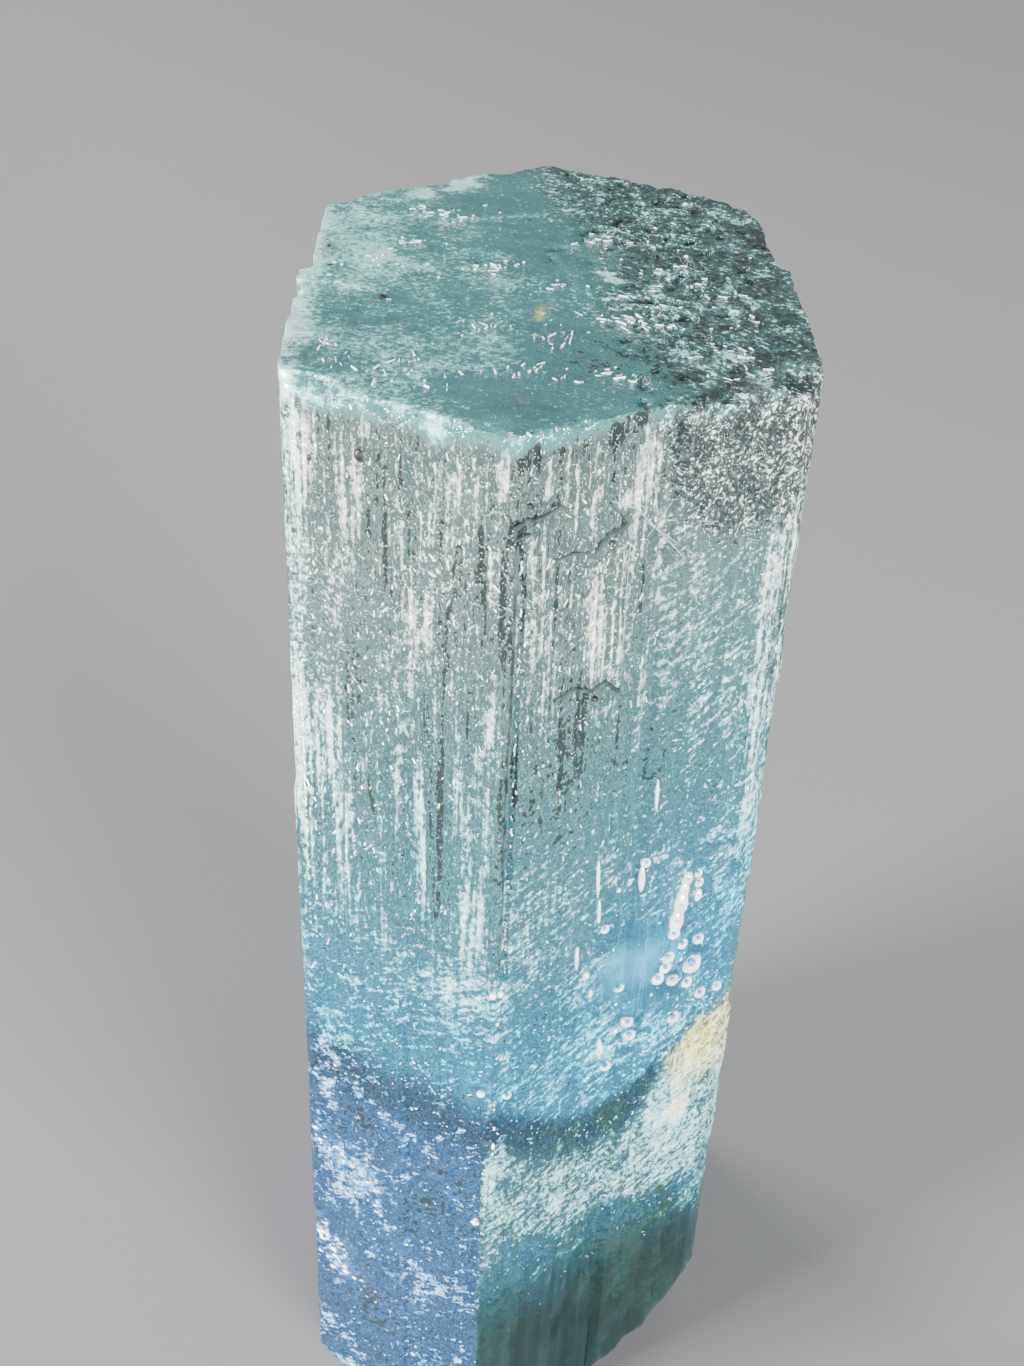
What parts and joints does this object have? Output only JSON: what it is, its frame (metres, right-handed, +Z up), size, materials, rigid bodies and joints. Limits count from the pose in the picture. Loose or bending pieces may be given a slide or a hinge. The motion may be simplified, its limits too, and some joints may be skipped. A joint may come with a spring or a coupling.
{
  "type": "aquamarine crystal",
  "caption": "Natural aquamarine: a stout six-sided prism with a flat worn end, ledges down its sides and a broken foot that it stands on.",
  "frame": {"origin": "middle of the broken foot that the crystal stands on, under the centre of its bounding box", "axes": "+Z up along the crystal's c axis, towards the flat end; +X out of one of the two long side faces"},
  "size_m": [0.0106, 0.0148, 0.0308],
  "materials": {
    "aquamarine": "clear to cloudy blue-green beryl with etched, finely striated faces"
  },
  "bodies": {
    "root": {"crystal": "aquamarine"}
  },
  "joints": []
}
